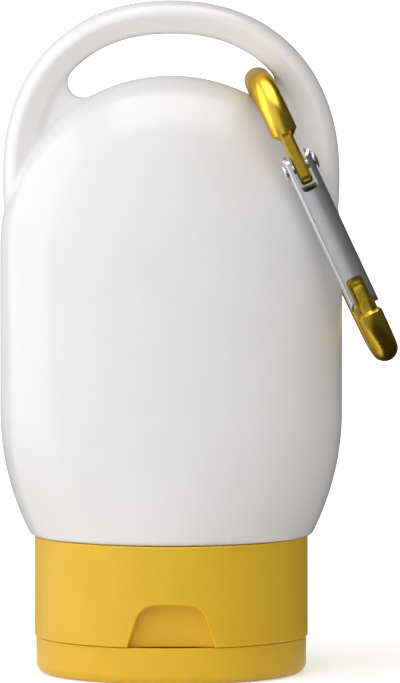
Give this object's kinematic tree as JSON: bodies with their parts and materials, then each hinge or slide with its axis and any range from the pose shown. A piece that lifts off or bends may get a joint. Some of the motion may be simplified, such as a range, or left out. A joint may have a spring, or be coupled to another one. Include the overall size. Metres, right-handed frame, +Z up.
{
  "type": "sunscreen bottle",
  "caption": "Upside-down squeeze bottle that stands on a screw-on flip-top cap, with a moulded carrying handle and a small gated carabiner clipped through it.",
  "frame": {"origin": "middle of the flip lid's flat underside, on the surface the bottle stands on", "axes": "+Z up through the neck to the handle, -Y to the front with the thumb recess, +X to the side where the carabiner hangs"},
  "size_m": [0.059, 0.0406, 0.1],
  "materials": {
    "white_hdpe": "satin white blow-moulded polyethylene",
    "liner_foam": "foamed polyethylene washer",
    "yellow_pp": "fine matt yellow polypropylene",
    "gold_anodised": "gold anodised, glossy",
    "bare_aluminium": "tumbled bare sheet",
    "rivet_aluminium": "bare, headed",
    "spring_steel": "drawn wire"
  },
  "bodies": {
    "bottle": {"bottle_shell": "white_hdpe"},
    "liner": {"neck_liner": "liner_foam"},
    "closure": {"closure_base": "yellow_pp", "film_hinge_left": "yellow_pp", "film_hinge_right": "yellow_pp"},
    "lid": {"flip_lid": "yellow_pp"},
    "carabiner": {"carabiner_frame": "gold_anodised", "gate_rivet": "rivet_aluminium"},
    "gate": {"carabiner_gate": "bare_aluminium", "gate_spring": "spring_steel"}
  },
  "joints": [
    {"name": "closure_lift", "type": "slide", "parent": "bottle", "child": "liner", "axis": [0, 0, -1], "range_m": [0, 0.006]},
    {"name": "closure_turn", "type": "hinge", "parent": "liner", "child": "closure", "pos_m": [0, 0, 0.0205], "axis": [0, 0, -1], "range_deg": [0, 720]},
    {"name": "lid_hinge", "type": "hinge", "parent": "closure", "child": "lid", "pos_m": [0, 0.01965, 0.00547], "axis": [1, 0, 0], "range_deg": [0, 175]},
    {"name": "carabiner_swing", "type": "hinge", "parent": "bottle", "child": "carabiner", "pos_m": [0.01307, 0, 0.08783], "axis": [0.0411, -0.999, 0.0192], "range_deg": [0, 120]},
    {"name": "gate_pivot", "type": "hinge", "parent": "carabiner", "child": "gate", "pos_m": [0.01909, -0.0134, 0.07635], "axis": [0.9054, 0.0454, 0.4222], "range_deg": [0, 12], "stiffness_Nm_per_rad": 0.01, "springref_deg": -17.19}
  ],
  "couplings": [
    {"joint": "closure_turn", "follows": "closure_lift", "rad_per_m": 2094.4}
  ]
}
